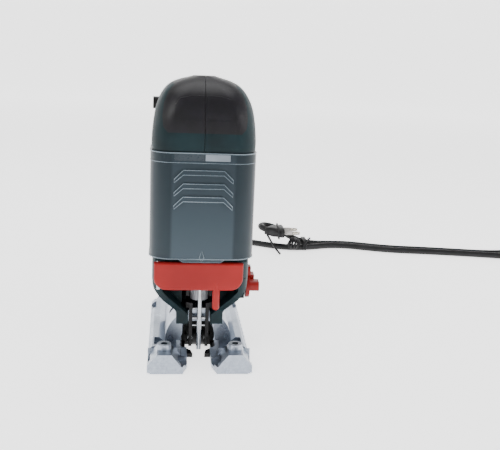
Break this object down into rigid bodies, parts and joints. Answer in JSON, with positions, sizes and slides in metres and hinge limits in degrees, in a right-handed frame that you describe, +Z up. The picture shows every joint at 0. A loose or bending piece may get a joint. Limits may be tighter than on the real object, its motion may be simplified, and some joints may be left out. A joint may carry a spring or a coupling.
{
  "type": "jigsaw power tool",
  "caption": "Corded orbital-action jigsaw with a D-handle, clear front cover, tilting cast sole plate, tool-free blade holder and coiled mains lead.",
  "frame": {"origin": "centre of the sole plate's underside, where the tool rests on the work", "axes": "+Z up, -Y towards the front of the tool and the cutting direction, +X towards the tool's side that carries the pendulum selector"},
  "size_m": [0.5821, 0.3998, 0.21],
  "materials": {
    "housing": "dark blue-green glass-filled polyamide, fine moulded texture",
    "soft_grip": "near-black soft thermoplastic elastomer",
    "black_plastic": "black moulded polyamide",
    "red_plastic": "satin red polyamide",
    "clear_plastic": "smoky clear polycarbonate",
    "cast_aluminium": "die-cast aluminium, tumbled",
    "steel": "ground steel",
    "grey_steel": "satin zinc-plated steel",
    "black_steel": "blackened steel",
    "core_steel": "laminated electrical steel",
    "copper": "enamelled copper",
    "brass": "drawn brass",
    "bronze": "sintered bronze",
    "carbon": "pressed carbon",
    "film_plastic": "cast capacitor body",
    "rubber": "black rubber",
    "cord": "black cable sheath and moulded plug",
    "tie_wire": "black plastic-coated tie wire"
  },
  "bodies": {
    "housing": {"housing_left": "housing", "housing_right": "housing", "grip_left": "soft_grip", "grip_right": "soft_grip", "housing_screws": "steel", "bearing_plate": "cast_aluminium", "front_bearing": "steel", "rear_bearing": "steel", "field_core": "core_steel", "field_coils": "copper", "brush_holders": "brass", "carbon_brushes": "carbon", "brush_springs": "steel", "gear_shaft": "steel", "upper_bush": "bronze", "lower_bush": "bronze", "clamp_plate": "steel", "clamp_screw": "black_steel", "guard_rod": "steel", "fork_pivot": "steel", "lever_pin": "steel", "switch_module": "black_plastic", "trigger_spring": "steel", "capacitor": "film_plastic", "cable_clamp": "black_plastic", "strain_relief": "rubber", "dust_port": "black_plastic", "cord_tube": "cord", "cord_return": "cord", "cord_coil": "cord", "plug": "cord", "cord_tie": "tie_wire"},
    "base": {"sole_plate": "cast_aluminium", "splinter_insert": "black_plastic", "dust_hood": "black_plastic"},
    "cover": {"chip_cover": "clear_plastic"},
    "lever": {"release_lever": "red_plastic"},
    "plunger": {"stroke_rod": "steel", "yoke": "steel", "blade_clamp": "steel"},
    "collar": {"blade_collar": "grey_steel"},
    "balance": {"balance_plate": "steel"},
    "gear": {"drive_gear": "black_steel", "crank_roller": "steel"},
    "armature": {"armature_shaft": "steel", "armature_core": "core_steel", "armature_windings": "copper", "commutator": "copper", "fan": "black_plastic"},
    "fork": {"pendulum_fork": "black_steel", "fork_pins": "steel"},
    "roller": {"guide_roller": "black_steel"},
    "selector": {"pendulum_knob": "red_plastic", "cam_shaft": "steel"},
    "blower": {"blower_slider": "red_plastic"},
    "trigger_body": {"trigger": "black_plastic"},
    "dial": {"speed_dial": "black_plastic"},
    "lock": {"lock_button": "black_plastic"}
  },
  "joints": [
    {"name": "base_tilt", "type": "hinge", "parent": "housing", "child": "base", "pos_m": [0, -0.013, 0.00875], "axis": [0, 1, 0], "range_deg": [-45, 45]},
    {"name": "cover_pull", "type": "slide", "parent": "housing", "child": "cover", "axis": [0, -1, 0], "range_m": [0, 0.075]},
    {"name": "lever_swing", "type": "hinge", "parent": "housing", "child": "lever", "pos_m": [-0.031, -0.057, 0.064], "axis": [0, 0, -1], "range_deg": [0, 70], "stiffness_Nm_per_rad": 0.12, "springref_deg": -17.19},
    {"name": "stroke_slide", "type": "slide", "parent": "housing", "child": "plunger", "axis": [0, 0, 1], "range_m": [0, 0.018]},
    {"name": "collar_turn", "type": "hinge", "parent": "plunger", "child": "collar", "pos_m": [0, -0.039, 0.05], "axis": [0, 0, -1], "range_deg": [0, 60]},
    {"name": "balance_slide", "type": "slide", "parent": "housing", "child": "balance", "axis": [0, 0, 1], "range_m": [-0.018, 0]},
    {"name": "armature_spin", "type": "hinge", "parent": "housing", "child": "armature", "pos_m": [0, 0.06, 0.074], "axis": [0, 1, 0], "continuous": true},
    {"name": "gear_spin", "type": "hinge", "parent": "housing", "child": "gear", "pos_m": [0, -0.01, 0.106], "axis": [0, 1, 0], "continuous": true},
    {"name": "fork_swing", "type": "hinge", "parent": "housing", "child": "fork", "pos_m": [0, -0.027, 0.0512], "axis": [1, 0, 0], "range_deg": [-3, 0], "stiffness_Nm_per_rad": 0.6, "springref_deg": 5.73},
    {"name": "roller_spin", "type": "hinge", "parent": "fork", "child": "roller", "pos_m": [0, -0.0356, 0.01], "axis": [1, 0, 0], "continuous": true},
    {"name": "pendulum_select", "type": "hinge", "parent": "housing", "child": "selector", "pos_m": [0.04, -0.02, 0.0475], "axis": [1, 0, 0], "range_deg": [-90, 0]},
    {"name": "blower_switch", "type": "slide", "parent": "housing", "child": "blower", "axis": [0, 1, 0], "range_m": [0, 0.008]},
    {"name": "trigger_press", "type": "slide", "parent": "housing", "child": "trigger_body", "axis": [0, 0, 1], "range_m": [0, 0.006], "stiffness_N_per_m": 900, "springref_m": -0.004, "deforming": ["trigger_spring"]},
    {"name": "speed_dial_turn", "type": "hinge", "parent": "trigger_body", "child": "dial", "pos_m": [0, 0.0485, 0.1625], "axis": [1, 0, 0], "range_deg": [0, 270]},
    {"name": "lock_press", "type": "slide", "parent": "housing", "child": "lock", "axis": [1, 0, 0], "range_m": [0, 0.003], "stiffness_N_per_m": 600, "springref_m": -0.002}
  ],
  "couplings": [
    {"joint": "collar_turn", "follows": "lever_swing", "ratio": 0.85},
    {"joint": "balance_slide", "follows": "stroke_slide", "ratio": -1},
    {"joint": "gear_spin", "follows": "armature_spin", "ratio": -0.23077}
  ]
}
